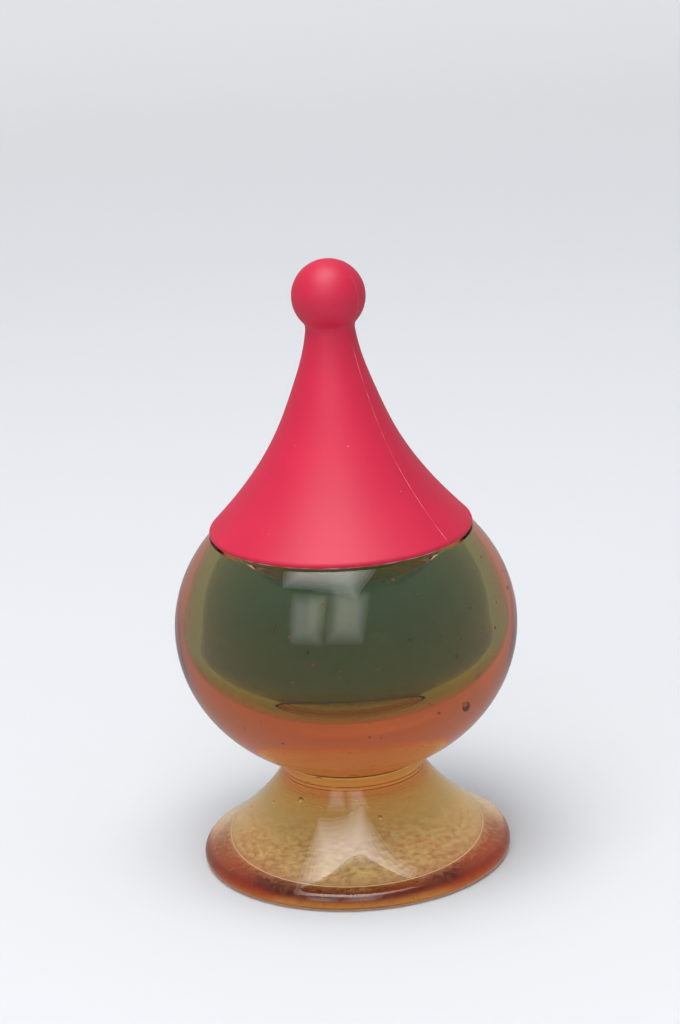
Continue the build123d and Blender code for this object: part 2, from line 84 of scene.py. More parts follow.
scene.cycles.max_bounces = 40
scene.cycles.transmission_bounces = 32
scene.cycles.transparent_max_bounces = 24
scene.cycles.glossy_bounces = 8
scene.cycles.volume_bounces = 0
scene.cycles.caustics_refractive = True
scene.cycles.caustics_reflective = False
scene.cycles.blur_glossy = 0.5


# ---- Meshes ---------------------------------------------------------------------------------
def arc(centre, radius, start, size, steps=12):
    """Points on a circle in the half section, from an angle in degrees through a size."""
    angles = [math.radians(start + size * i / steps) for i in range(steps + 1)]
    return [(centre[0] + radius * math.cos(a), centre[1] + radius * math.sin(a)) for a in angles]


def ellipse(centre_z, radius, half_height, start, end, steps):
    """Points on an ellipse round the axis in the half section, from one angle in degrees to another."""
    angles = [math.radians(start + (end - start) * i / steps) for i in range(steps + 1)]
    return [(radius * math.cos(a), centre_z + half_height * math.sin(a)) for a in angles]


def bezier(a, b, c, d, steps=32):
    """Points on a cubic curve with its ends at a and d, drawn towards b and c."""
    points = []
    for i in range(steps + 1):
        t = i / steps
        weights = ((1 - t) ** 3, 3 * t * (1 - t) ** 2, 3 * t**2 * (1 - t), t**3)
        points.append(tuple(sum(w * p[k] for w, p in zip(weights, (a, b, c, d))) for k in (0, 1)))
    return points


def piece_from(name, bm):
    """Makes an object of a finished bmesh and puts it in the scene."""
    mesh = bpy.data.meshes.new(name)
    bm.to_mesh(mesh)
    bm.free()
    piece = bpy.data.objects.new(name, mesh)
    scene.collection.objects.link(piece)
    return piece


def lathe(name, outline, segments, sharp):
    """Turns a closed half section of (radius, height) in mm about Z, in so many segments. Points on the
    axis close the surface there, and an edge that turns more than sharp, in degrees, stays crisp."""
    points = []
    for r, z in outline:
        if not points or math.dist(points[-1], (r, z)) > SAME_POINT:
            points.append((max(r, 0.0), z))
    if math.dist(points[0], points[-1]) < SAME_POINT:
        points.pop()
    bm = bmesh.new()
    rings = []
    for r, z in points:
        if r < SAME_POINT:
            rings.append([bm.verts.new((0, 0, z * MM))])
            continue
        ring = []
        for i in range(segments):
            a = 2 * math.pi * i / segments
            ring.append(bm.verts.new((r * MM * math.cos(a), r * MM * math.sin(a), z * MM)))
        rings.append(ring)
    pairs = list(zip(rings[:-1], rings[1:]))
    if not (len(rings[0]) == 1 and len(rings[-1]) == 1):
        pairs.append((rings[-1], rings[0]))
    for low, high in pairs:
        for i in range(segments):
            j = (i + 1) % segments
            if len(low) == 1 and len(high) == 1:
                break
            if len(low) == 1:
                bm.faces.new((low[0], high[j], high[i]))
            elif len(high) == 1:
                bm.faces.new((low[i], low[j], high[0]))
            else:
                bm.faces.new((low[i], low[j], high[j], high[i]))
    bmesh.ops.recalc_face_normals(bm, faces=bm.faces)
    for face in bm.faces:
        face.smooth = True
    for edge in bm.edges:
        if len(edge.link_faces) == 2 and edge.calc_face_angle(0) > math.radians(sharp):
            edge.smooth = False
    return piece_from(name, bm)


def place(piece, body, slot, material, *replaced):
    """Gives a piece its body and material, and the CAD nodes that it stands in for. The slot is not used."""
    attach(piece, body)
    if replaced:
        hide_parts(*replaced)
    piece.data.materials.clear()
    piece.data.materials.append(material)


# ---- Materials ------------------------------------------------------------------------------
def new_material(name):
    material = bpy.data.materials.new(name)
    material.use_nodes = True
    return material, material.node_tree.nodes, material.node_tree.links


def srgb(r, g, b):
    """A screen colour, 0 to 255, as the linear colour that a node takes."""
    def one(v):
        v /= 255
        return v / 12.92 if v <= 0.04045 else ((v + 0.055) / 1.055) ** 2.4

    return (one(r), one(g), one(b), 1)


def object_place(tree_nodes):
    return tree_nodes.new("ShaderNodeTexCoord").outputs["Object"]


def noise(tree_nodes, links, scale, detail=3.0, roughness=0.5, vector=None):
    node = tree_nodes.new("ShaderNodeTexNoise")
    node.inputs["Scale"].default_value = scale
    node.inputs["Detail"].default_value = detail
    node.inputs["Roughness"].default_value = roughness
    links.new(vector or object_place(tree_nodes), node.inputs["Vector"])
    return node


def ramp(tree_nodes, links, source, stops):
    node = tree_nodes.new("ShaderNodeValToRGB")
    elements = node.color_ramp.elements
    while len(elements) < len(stops):
        elements.new(0.5)
    for element, (position, colour) in zip(elements, stops):
        element.position = position
        element.color = colour
    links.new(source, node.inputs["Fac"])
    return node


def bump(tree_nodes, links, shader, height, strength, distance):
    node = tree_nodes.new("ShaderNodeBump")
    node.inputs["Strength"].default_value = strength
    node.inputs["Distance"].default_value = distance
    links.new(height, node.inputs["Height"])
    links.new(node.outputs["Normal"], shader.inputs["Normal"])


def mix_colour(tree_nodes, links, amount, under, over):
    """Lays one colour over another by an amount from 0 to 1; each colour is a socket or a plain colour."""
    node = tree_nodes.new("ShaderNodeMix")
    node.data_type = "RGBA"
    links.new(amount, node.inputs["Factor"])
    for socket, colour in (("A", under), ("B", over)):
        target = next(i for i in node.inputs if i.name == socket and i.type == "RGBA")
        if isinstance(colour, tuple):
            target.default_value = colour
        else:
            links.new(colour, target)
    return next(o for o in node.outputs if o.type == "RGBA")


def map_range(tree_nodes, links, value, low, high, to_low=0.0, to_high=1.0):
    node = tree_nodes.new("ShaderNodeMapRange")
    for name, number in zip(("From Min", "From Max", "To Min", "To Max"), (low, high, to_low, to_high)):
        node.inputs[name].default_value = number
    links.new(value, node.inputs["Value"])
    return node.outputs["Result"]


def fade(tree_nodes, links, value, span, to_low=0.0, to_high=1.0):
    """Goes from one number to another while a length in metres runs through a span in mm."""
    return map_range(tree_nodes, links, value, span[0] * MM, span[1] * MM, to_low, to_high)


def calculate(operation, tree_nodes, links, a, b):
    node = tree_nodes.new("ShaderNodeMath")
    node.operation = operation
    links.new(a, node.inputs[0])
    links.new(b, node.inputs[1])
    return node.outputs["Value"]


def multiply(tree_nodes, links, a, b):
    return calculate("MULTIPLY", tree_nodes, links, a, b)


def maximum(tree_nodes, links, a, b):
    return calculate("MAXIMUM", tree_nodes, links, a, b)


def length_of(tree_nodes, links, vector):
    node = tree_nodes.new("ShaderNodeVectorMath")
    node.operation = "LENGTH"
    links.new(vector, node.inputs[0])
    return node.outputs["Value"]


def along(tree_nodes, links, vector, direction):
    """How far a place lies along a direction."""
    node = tree_nodes.new("ShaderNodeVectorMath")
    node.operation = "DOT_PRODUCT"
    node.inputs[1].default_value = direction
    links.new(vector, node.inputs[0])
    return node.outputs["Value"]


def plastic(name, colour, roughness, grain=900, grain_depth=0.00001, variation=0.06):
    """Moulded plastic: nearly even colour, fine grain, slightly uneven gloss."""
    material, tree_nodes, links = new_material(name)
    shader = tree_nodes["Principled BSDF"]
    wide = noise(tree_nodes, links, 60, 3)
    dark = tuple(c * (1 - variation) for c in colour[:3]) + (1,)
    light = tuple(min(1, c * (1 + variation)) for c in colour[:3]) + (1,)
    tint = ramp(tree_nodes, links, wide.outputs["Fac"], [(0.35, dark), (0.65, light)])
    links.new(tint.outputs["Color"], shader.inputs["Base Color"])
    gloss = map_range(tree_nodes, links, wide.outputs["Fac"], 0, 1, roughness * 0.88, roughness * 1.12)
    links.new(gloss, shader.inputs["Roughness"])
    fine = noise(tree_nodes, links, grain, 2)
    bump(tree_nodes, links, shader, fine.outputs["Fac"], 0.35, grain_depth)
    return material


SEAM_ANGLES = (math.radians(-38), math.radians(142))
# where the cap's painted highlights start and are full, in mm: over the rim, beside a parting line, out from
# the axis
RIM_HIGHLIGHT_RISE, SEAM_HIGHLIGHT_WIDTH, SEAM_HIGHLIGHT_START = (0.45, 0.20), (0.09, 0.05), (4.6, 5.4)


def specks_and_painted_highlights(material, rim_z):
    """Pale specks of dust and nicks all over; a paler broken line along the rim's edge, a painted highlight
    where the rounded edge catches light; and painted highlights here and there along the parting lines'
    ridges."""
    tree_nodes, links = material.node_tree.nodes, material.node_tree.links
    shader = tree_nodes["Principled BSDF"]
    colour = shader.inputs["Base Color"].links[0].from_socket
    place_of = object_place(tree_nodes)
    cells = tree_nodes.new("ShaderNodeTexVoronoi")
    cells.inputs["Scale"].default_value = 340
    links.new(place_of, cells.inputs["Vector"])
    dot = map_range(tree_nodes, links, cells.outputs["Distance"], 0.055, 0.02)
    pick = tree_nodes.new("ShaderNodeSeparateColor")
    links.new(cells.outputs["Color"], pick.inputs["Color"])
    chosen = map_range(tree_nodes, links, pick.outputs["Red"], 0.45, 0.85, 0.0, 0.7)
    specks = multiply(tree_nodes, links, dot, chosen)
    colour = mix_colour(tree_nodes, links, specks, colour, srgb(250, 190, 190))
    axes = tree_nodes.new("ShaderNodeSeparateXYZ")
    links.new(place_of, axes.inputs["Vector"])
    # painted highlight: a pale broken line along the rim's rounded edge, where it catches light
    edge = fade(tree_nodes, links, axes.outputs["Z"], [rim_z / MM + up for up in RIM_HIGHLIGHT_RISE])
    uneven = noise(tree_nodes, links, 420, 3).outputs["Fac"]
    patches = map_range(tree_nodes, links, uneven, 0.40, 0.62, 0.15, 0.75)
    rim_highlight = multiply(tree_nodes, links, edge, patches)
    colour = mix_colour(tree_nodes, links, rim_highlight, colour, srgb(250, 200, 200))
    # painted highlights: pale broken lines along each parting line's ridge, where the ridge catches light
    for angle in SEAM_ANGLES:
        apart = tree_nodes.new("ShaderNodeMath")
        apart.operation = "ABSOLUTE"
        across = along(tree_nodes, links, place_of, (math.sin(angle), -math.cos(angle), 0))
        links.new(across, apart.inputs[0])
        line = fade(tree_nodes, links, apart.outputs["Value"], SEAM_HIGHLIGHT_WIDTH)
        outward = along(tree_nodes, links, place_of, (math.cos(angle), math.sin(angle), 0))
        this_side = fade(tree_nodes, links, outward, SEAM_HIGHLIGHT_START)
        seam_highlight_patches = map_range(tree_nodes, links, uneven, 0.46, 0.62, 0.08, 0.45)
        line = multiply(tree_nodes, links, multiply(tree_nodes, links, line, this_side), seam_highlight_patches)
        colour = mix_colour(tree_nodes, links, line, colour, srgb(250, 170, 175))
    links.new(colour, shader.inputs["Base Color"])


def metal(name, colour, roughness):
    """Anodised or plain aluminium: metallic, with a faint turned grain round the axis."""
    material, tree_nodes, links = new_material(name)
    shader = tree_nodes["Principled BSDF"]
    shader.inputs["Metallic"].default_value = 1.0
    mapping = tree_nodes.new("ShaderNodeMapping")
    mapping.inputs["Scale"].default_value = (0.15, 0.15, 6)
    links.new(object_place(tree_nodes), mapping.inputs["Vector"])
    lines = noise(tree_nodes, links, 400, 4, 0.6, mapping.outputs["Vector"])
    dark = tuple(c * 0.9 for c in colour[:3]) + (1,)
    tint = ramp(tree_nodes, links, lines.outputs["Fac"], [(0.3, dark), (0.7, colour)])
    links.new(tint.outputs["Color"], shader.inputs["Base Color"])
    gloss = map_range(tree_nodes, links, lines.outputs["Fac"], 0, 1, roughness * 0.75, roughness * 1.3)
    links.new(gloss, shader.inputs["Roughness"])
    bump(tree_nodes, links, shader, lines.outputs["Fac"], 0.2, 0.000004)
    return material


def clear(name, ior, roughness, absorb_colour, absorb_density):
    """A clear solid or liquid: refraction, and a volume that takes colour with depth."""
    material, tree_nodes, links = new_material(name)
    shader = tree_nodes["Principled BSDF"]
    shader.inputs["Base Color"].default_value = (1, 1, 1, 1)
    shader.inputs["Roughness"].default_value = roughness
    shader.inputs["IOR"].default_value = ior
    shader.inputs["Transmission Weight"].default_value = 1.0
    volume = tree_nodes.new("ShaderNodeVolumeAbsorption")
    volume.inputs["Color"].default_value = absorb_colour
    volume.inputs["Density"].default_value = absorb_density
    links.new(volume.outputs["Volume"], tree_nodes["Material Output"].inputs["Volume"])
    return material


# where the painted glow round the foot's rim, the bare bottom edge under it and the frosting start and are
# full, in mm: heights over the floor, or radii from the axis
RIM_GLOW_HEIGHTS, RIM_GLOW_RADII, CLEAR_EDGE_HEIGHTS = (9.0, 4.5), (22.5, 27.8), (1.0, 2.4)
FROST_HEIGHTS, FROST_RADII, HOLLOW_RADII = (2.8, 2.4), (27.2, 26.6), (23.0, 18.0)
CLOUD_SHIFT = 1.5  # how far the zones of the height colouring, painted glow among them, wander up and down, in mm


def tint_glass_with_painted_glow(material, top, stops, rim_glow_colour):
    """Colours the glass surface by height over the floor, (height in mm, colour) up to a top in mm, and more
    strongly round the foot's rim. The height colours are partly the glass's own tint and partly painted
    light: the pale yellows low on the foot and the orange low on the bowl are painted glow of light focused
    through the glass, and the red band round the foot's rim is painted light caught in the rim. The foot's
    underside is frosted, and its hollow is ground rougher, so that it glows instead of mirroring."""
    tree_nodes, links = material.node_tree.nodes, material.node_tree.links
    shader = tree_nodes["Principled BSDF"]
    axes = tree_nodes.new("ShaderNodeSeparateXYZ")
    links.new(object_place(tree_nodes), axes.inputs["Vector"])
    height = axes.outputs["Z"]
    flat = tree_nodes.new("ShaderNodeCombineXYZ")
    links.new(axes.outputs["X"], flat.inputs["X"])
    links.new(axes.outputs["Y"], flat.inputs["Y"])
    radius = length_of(tree_nodes, links, flat.outputs["Vector"])

    cloud = noise(tree_nodes, links, 70, 3)
    shift = map_range(tree_nodes, links, cloud.outputs["Fac"], 0.3, 0.7, -CLOUD_SHIFT * MM, CLOUD_SHIFT * MM)
    moved = calculate("ADD", tree_nodes, links, height, shift)
    share = map_range(tree_nodes, links, moved, 0.0, top * MM)
    # the height colours: the glass's tint, with painted glow of focused light low on the foot and low on the
    # bowl
    tint = ramp(tree_nodes, links, share, [(z / top, colour + (1,)) for z, colour in stops])
    # painted light: a red band round the foot's rim, kept off its bottom edge so that the painted yellow glow
    # there shows
    low = fade(tree_nodes, links, moved, RIM_GLOW_HEIGHTS)
    outside = fade(tree_nodes, links, radius, RIM_GLOW_RADII)
    over_edge = fade(tree_nodes, links, height, CLEAR_EDGE_HEIGHTS)
    rim = multiply(tree_nodes, links, multiply(tree_nodes, links, low, outside), over_edge)
    colour = mix_colour(tree_nodes, links, rim, tint.outputs["Color"], rim_glow_colour + (1,))
    links.new(colour, shader.inputs["Base Color"])

    under = fade(tree_nodes, links, height, FROST_HEIGHTS)
    inside = fade(tree_nodes, links, radius, FROST_RADII)
    frosted = multiply(tree_nodes, links, under, inside)
    stipple = noise(tree_nodes, links, 900, 2)
    rough = map_range(tree_nodes, links, stipple.outputs["Fac"], 0.3, 0.7, 0.16, 0.30)
    hollow = fade(tree_nodes, links, radius, HOLLOW_RADII, 1.0, 2.5)
    rough = multiply(tree_nodes, links, rough, hollow)
    links.new(multiply(tree_nodes, links, frosted, rough), shader.inputs["Roughness"])


GLASS = clear("amber_glass", 1.52, 0.0, (0.82, 0.46, 0.02, 1), 60)
# the pale yellows at 0 and 4 mm and the orange at 22 mm are painted glow of light focused through the glass;
# the last colour is the painted light round the foot's rim
tint_glass_with_painted_glow(GLASS, 75, [
    (0, (1.0, 0.84, 0.34)), (4, (1.0, 0.88, 0.56)), (7.5, (0.94, 0.90, 0.58)), (11, (0.62, 0.82, 0.56)),
    (17, (0.62, 0.76, 0.40)), (19.5, (0.66, 0.40, 0.13)), (22, (0.94, 0.46, 0.14)), (28, (0.80, 0.48, 0.28)),
    (36, (0.70, 0.53, 0.76)), (48, (0.70, 0.55, 0.76)), (70, (0.84, 0.76, 0.78)),
], (0.84, 0.32, 0.32))
PERFUME = clear("olive_perfume", 1.36, 0.0, (0.09, 0.50, 0.36, 1), 44)
PERFUME.node_tree.nodes["Principled BSDF"].inputs["Base Color"].default_value = (0.36, 0.95, 0.60, 1)
STONE = plastic("amber_stone", srgb(196, 96, 34), 0.6)
TUBE = clear("clear_tube", 1.08, 0.05, (0.9, 0.9, 0.85, 1), 20)
CRIMSON = plastic("crimson_soft_touch", srgb(196, 20, 60), 0.5, 1400, 0.000012, 0.07)
specks_and_painted_highlights(CRIMSON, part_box("cap_shell")[0].z)
LINER = plastic("liner_plastic", srgb(225, 220, 212), 0.5)
WHITE = plastic("white_plastic", srgb(236, 234, 228), 0.4)
MILKY = plastic("milky_plastic", srgb(222, 222, 216), 0.38)
GASKET = plastic("gasket_rubber", srgb(196, 194, 188), 0.7)
GOLD = metal("gold_anodised", srgb(236, 194, 116), 0.24)
ALUMINIUM = metal("plain_aluminium", srgb(214, 214, 216), 0.3)
STEEL = metal("spring_steel", srgb(200, 200, 204), 0.2)

for node, material in {
    "dip_tube": TUBE,
    "neck_gasket": GASKET,
    "pump_body": MILKY,
    "inlet_ball": STEEL,
    "piston_rod": MILKY,
    "main_piston": WHITE,
    "spray_stem": MILKY,
    "stem_bush": WHITE,
    "crimp_ferrule": ALUMINIUM,
    "collar_insert": WHITE,
    "collar": GOLD,
    "button_core": WHITE,
    "button_shell": GOLD,
    "spray_nozzle": WHITE,
    "cap_liner": LINER,
}.items():
    data = nodes[node].data
    data.materials.clear()
    data.materials.append(material)

# ---- Bottle ---------------------------------------------------------------------------------
BOWL_RADIUS, BOWL_HALF_HEIGHT, BOWL_Z = 31.0, 27.3, 44.184
WAIST_RADIUS, FOOT_HEIGHT, WAIST_BAND = 13.0, 19.4, 1.4
FOOT_RADIUS, LOWER_EDGE, UPPER_EDGE, CROWN = 28.3, 1.2, 2.2, 60.0
FLARE_REACH, FLARE_RISE = 6.8, 3.1
PUNT_RADIUS, PUNT_DEPTH = 20.5, 2.2
SEAT_RADIUS, SEAT_WIDTH, SHOULDER_RISE = 23.6, 2.6, 4.0
NECK_HEIGHT, BEAD_HEIGHT = 7.2, 3.9
CAVITY_RADIUS, CAVITY_RISE, CAVITY_BAND, CAVITY_DEPTH = 19.4, 17.6, 2.5, 11.0
NECK_RADIUS, BEAD_RADIUS, BORE_RADIUS, LIP = 6.55, 7.4, 4.75, 0.5
NECK_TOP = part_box("bottle")[1].z / MM
ROOT = NECK_TOP - NECK_HEIGHT
BEAD_LOW = NECK_TOP - BEAD_HEIGHT
SEAT_Z = ROOT - SHOULDER_RISE
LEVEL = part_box("perfume")[1].z / MM


def bowl_reach(z):
    """Outside radius of the bowl at a height."""
    return BOWL_RADIUS * math.sqrt(1 - ((z - BOWL_Z) / BOWL_HALF_HEIGHT) ** 2)


def bottle_outline():
    """The bottle's half section: hollow, foot, waist, bowl, shoulder and neck, then the cavity downwards."""
    sphere = (PUNT_RADIUS**2 + PUNT_DEPTH**2) / (2 * PUNT_DEPTH)
    half = math.degrees(math.asin(PUNT_RADIUS / sphere))
    toe = FOOT_RADIUS - LOWER_EDGE
    points = arc((0, PUNT_DEPTH - sphere), sphere, 90, -half, 24)
    points += arc((PUNT_RADIUS + 0.5, 0.5), 0.5, 180, 90, 4)[2:]
    points += arc((toe, LOWER_EDGE), LOWER_EDGE, -90, 90, 10)
    over = arc((FOOT_RADIUS - UPPER_EDGE, LOWER_EDGE), UPPER_EDGE, 0, CROWN, 12)
    points += over
    crown = over[-1]
    a = math.radians(CROWN)
    band_low = FOOT_HEIGHT - WAIST_BAND
    points += bezier(
        crown,
        (crown[0] - FLARE_REACH * math.sin(a), crown[1] + FLARE_REACH * math.cos(a)),
        (WAIST_RADIUS, band_low - FLARE_RISE),
        (WAIST_RADIUS, band_low),
    )
    start = -math.degrees(math.acos(WAIST_RADIUS / BOWL_RADIUS))
    end = math.degrees(math.acos(SEAT_RADIUS / BOWL_RADIUS))
    bowl = ellipse(BOWL_Z, BOWL_RADIUS, BOWL_HALF_HEIGHT, start, end, 96)
    # the crease over the band is rounded, as in the CAD part
    crease = [(0, 0.75), (0.06, 0.4), (0.24, 0.08)]
    points += [(WAIST_RADIUS + out, FOOT_HEIGHT - down) for out, down in crease]
    points += [p for p in bowl if p[0] > WAIST_RADIUS + 0.5]
    points += [(SEAT_RADIUS - SEAT_WIDTH, SEAT_Z)]
    points += [(NECK_RADIUS + 0.5, ROOT - 0.15), (NECK_RADIUS, ROOT + 0.3)]
    run = BEAD_RADIUS - NECK_RADIUS
    points += [(NECK_RADIUS, BEAD_LOW), (BEAD_RADIUS, BEAD_LOW + run), (BEAD_RADIUS, NECK_TOP - LIP)]
    points += [(BEAD_RADIUS - LIP, NECK_TOP), (BORE_RADIUS + LIP, NECK_TOP), (BORE_RADIUS, NECK_TOP - LIP)]
    top = math.degrees(math.acos(BORE_RADIUS / CAVITY_RADIUS))
    upper = ellipse(BOWL_Z, CAVITY_RADIUS, CAVITY_RISE, top, 0, 48)
    lower = ellipse(BOWL_Z - CAVITY_BAND, CAVITY_RADIUS, CAVITY_DEPTH - CAVITY_BAND, 0, -90, 48)
    return points + upper + lower


def cavity_reach(z):
    """Radius of the cavity at a height, or 0 outside it."""
    if z >= BOWL_Z:
        share = (z - BOWL_Z) / CAVITY_RISE
    elif z >= BOWL_Z - CAVITY_BAND:
        share = 0
    else:
        share = (BOWL_Z - CAVITY_BAND - z) / (CAVITY_DEPTH - CAVITY_BAND)
    return CAVITY_RADIUS * math.sqrt(1 - share**2) if share < 1 else 0


BOWL_SEEDS, FOOT_SEEDS, STONES = 46, 22, 90
SEED_COVER, STONE_COVER = 0.9, 0.6  # least glass over the middle of a bubble or a stone


def seed_places():
    """Air bubbles in the glass: centre in mm and radius. Most are tiny; a few at the front are larger."""
    draw = random.Random(11)
    spots = []
    while len(spots) < BOWL_SEEDS:
        z = draw.uniform(24, 60)
        angle = draw.uniform(0, 2 * math.pi)
        outer = bowl_reach(z) - SEED_COVER
        inner = cavity_reach(z) + SEED_COVER
        if inner < outer:
            reach = draw.uniform(inner, outer)
            size = draw.choice((0.10, 0.13, 0.16, 0.20, 0.28))
            spots.append(((reach * math.cos(angle), reach * math.sin(angle), z), size))
    for _ in range(FOOT_SEEDS):
        z = draw.uniform(4, 17)
        angle = draw.uniform(0, 2 * math.pi)
        reach = draw.uniform(1, 11 if z > 9 else 19)
        size = draw.choice((0.14, 0.18, 0.24, 0.36))
        spots.append(((reach * math.cos(angle), reach * math.sin(angle), z), size))
    round_waist = [((0.0, -13.2, 22.6), 0.62), ((-6.0, -9.5, 18.6), 0.55), ((-9.6, -9.6, 14.0), 0.60)]
    at_front = [((-11.5, -22.4, 51.5), 0.42), ((5.9, -24.2, 50.8), 0.30), ((4.0, -12.5, 10.6), 0.45)]
    return spots + round_waist + at_front


def add_seeds(piece, spots):
    """Puts each bubble into the solid as a small void, its faces turned inwards."""
    bm = bmesh.new()
    bm.from_mesh(piece.data)
    for (x, y, z), size in spots:
        shape = Matrix.Translation((x * MM, y * MM, z * MM)) @ Matrix.Diagonal((1, 1, 0.86, 1))
        made = bmesh.ops.create_icosphere(bm, subdivisions=2, radius=size * MM, matrix=shape)
        faces = {face for vert in made["verts"] for face in vert.link_faces}
        for face in faces:
            face.smooth = True
        bmesh.ops.reverse_faces(bm, faces=list(faces))
    bm.to_mesh(piece.data)
    bm.free()


bottle = lathe("bottle_glass", bottle_outline(), 256, 40)
add_seeds(bottle, seed_places())
place(bottle, "bottle_unit", "amber_glass", GLASS, "bottle")


# ---- Small amber stones in the glass --------------------------------------------------------
def add_stones(name, count):
    """Small irregular grains inside the bowl's wall."""
    draw = random.Random(5)
    bm = bmesh.new()
    made = 0
    while made < count:
        z = draw.uniform(22, 60)
        angle = draw.uniform(0, 2 * math.pi)
        outer = bowl_reach(z) - STONE_COVER
        inner = cavity_reach(z) + STONE_COVER
        if inner >= outer:
            continue
        reach = draw.uniform(inner, outer)
        size = draw.choice((0.09, 0.13, 0.18, 0.26))
        stretch = [draw.uniform(0.7, 1.2) for _ in range(3)]
        shape = Matrix.Translation((reach * math.cos(angle) * MM, reach * math.sin(angle) * MM, z * MM))
        shape = shape @ Matrix.Rotation(draw.uniform(0, 3), 4, "X") @ Matrix.Diagonal((*stretch, 1))
        bmesh.ops.create_icosphere(bm, subdivisions=2, radius=size * MM, matrix=shape)
        made += 1
    for vert in bm.verts:
        vert.co += vert.normal * draw.uniform(-0.02, 0.02) * MM
    for face in bm.faces:
        face.smooth = True
    return piece_from(name, bm)


place(add_stones("glass_stones", STONES), "bottle_unit", "amber_glass", STONE)

# ---- Perfume --------------------------------------------------------------------------------
OVERLAP = 0.06  # how far it reaches into the glass, so that light crosses one boundary there
CLIMB = 0.25  # how far the surface climbs up what it wets


def perfume_outline():
    """The fill's half section: up along the cavity's wall, then the surface inwards."""
    radius = CAVITY_RADIUS + OVERLAP
    rise = math.degrees(math.asin((LEVEL + CLIMB - BOWL_Z) / (CAVITY_RISE + OVERLAP)))
    wall = ellipse(BOWL_Z - CAVITY_BAND, radius, CAVITY_DEPTH - CAVITY_BAND + OVERLAP, -90, 0, 48)
    wall += ellipse(BOWL_Z, radius, CAVITY_RISE + OVERLAP, 0, rise, 48)
    edge = wall[-1][0]
    dip = ((0.12, 0.17), (0.3, 0.08), (0.6, 0.02), (1.1, 0))
    meniscus = [(edge - inward, LEVEL + up) for inward, up in dip]
    # the surface climbs a little round the pump's tail, and ends inside it
    tail = [(r, LEVEL + up) for r, up in ((2.6, 0), (2.1, 0.06), (1.8, 0.2), (1.5, CLIMB), (0, CLIMB))]
    return wall + meniscus + tail


perfume = lathe("perfume_fill", perfume_outline(), 192, 50)
place(perfume, "bottle_unit", "perfume_liquid", PERFUME, "perfume")


# ---- Stage and light ------------------------------------------------------------------------
def stage_material():
    """A pale floor and backdrop. What is seen of them through the glass, in reflections or from far off
    glows evenly, so that no shade or dark gap shows there."""
    material, tree_nodes, links = new_material("pale_stage")
    shader = tree_nodes["Principled BSDF"]
    shader.inputs["Base Color"].default_value = (0.64, 0.65, 0.67, 1)
    shader.inputs["Roughness"].default_value = 0.85
    glow = tree_nodes.new("ShaderNodeEmission")
    glow.inputs["Color"].default_value = (0.90, 0.91, 0.93, 1)
    path = tree_nodes.new("ShaderNodeLightPath")
    distance = length_of(tree_nodes, links, object_place(tree_nodes))
    far = map_range(tree_nodes, links, distance, 0.5, 1.6, 0.0, 0.9)
    seen_far = multiply(tree_nodes, links, path.outputs["Is Camera Ray"], far)
    through = maximum(tree_nodes, links, path.outputs["Is Transmission Ray"], path.outputs["Is Glossy Ray"])
    bright = maximum(tree_nodes, links, path.outputs["Is Transmission Ray"], path.outputs["Is Camera Ray"])
    links.new(map_range(tree_nodes, links, bright, 0, 1, 0.45, 1.0), glow.inputs["Strength"])
    mix = tree_nodes.new("ShaderNodeMixShader")
    links.new(maximum(tree_nodes, links, through, seen_far), mix.inputs["Fac"])
    links.new(shader.outputs["BSDF"], mix.inputs[1])
    links.new(glow.outputs["Emission"], mix.inputs[2])
    links.new(mix.outputs["Shader"], tree_nodes["Material Output"].inputs["Surface"])
    return material


FLOOR_HALF, FRONT_Y, BACK_Y, BEND, WALL_TOP = 3.0, -2.0, 1.2, 0.4, 2.6
FLOOR_DROP = 0.0001  # air under the foot, so that the glass is not in optical contact


def add_backdrop():
    """A floor that bends up into a wall behind the object."""
    bm = bmesh.new()
    profile = [(FRONT_Y, -FLOOR_DROP)]
    profile += [(y, z - FLOOR_DROP) for y, z in arc((BACK_Y - BEND, BEND), BEND, -90, 90)]
    profile.append((BACK_Y, WALL_TOP))
    rows = [[bm.verts.new((x, y, z)) for y, z in profile] for x in (-FLOOR_HALF, FLOOR_HALF)]
    for i in range(len(profile) - 1):
        bm.faces.new((rows[0][i], rows[1][i], rows[1][i + 1], rows[0][i + 1])).smooth = True
    backdrop = piece_from("stage", bm)
    backdrop.data.materials.append(stage_material())


add_backdrop()


def world_background():
    """Dim light on the object, and a pale surround where it is seen directly or through the glass."""
    world = bpy.data.worlds.new("world")
    scene.world = world
    world.use_nodes = True
    tree_nodes, links = world.node_tree.nodes, world.node_tree.links
    plain = tree_nodes["Background"]
    plain.inputs["Color"].default_value = (0.95, 0.97, 1.0, 1)
    plain.inputs["Strength"].default_value = 0.53
    pale = tree_nodes.new("ShaderNodeBackground")
    pale.inputs["Color"].default_value = (0.84, 0.85, 0.87, 1)
    path = tree_nodes.new("ShaderNodeLightPath")
    seen = maximum(tree_nodes, links, path.outputs["Is Camera Ray"], path.outputs["Is Transmission Ray"])
    links.new(map_range(tree_nodes, links, seen, 0, 1, 0.45, 1.0), pale.inputs["Strength"])
    mix = tree_nodes.new("ShaderNodeMixShader")
    links.new(maximum(tree_nodes, links, seen, path.outputs["Is Glossy Ray"]), mix.inputs["Fac"])
    links.new(plain.outputs["Background"], mix.inputs[1])
    links.new(pale.outputs["Background"], mix.inputs[2])
    links.new(mix.outputs["Shader"], tree_nodes["World Output"].inputs["Surface"])


world_background()


def area_light(name, place_at, aim, size, power):
    """A rectangular lamp that faces what it is aimed at."""
    data = bpy.data.lights.new(name, "AREA")
    data.shape = "RECTANGLE"
    data.size, data.size_y = size
    data.energy = power
    light = bpy.data.objects.new(name, data)
    light.location = place_at
    light.rotation_euler = (Vector(aim) - Vector(place_at)).to_track_quat("-Z", "Y").to_euler()
    scene.collection.objects.link(light)


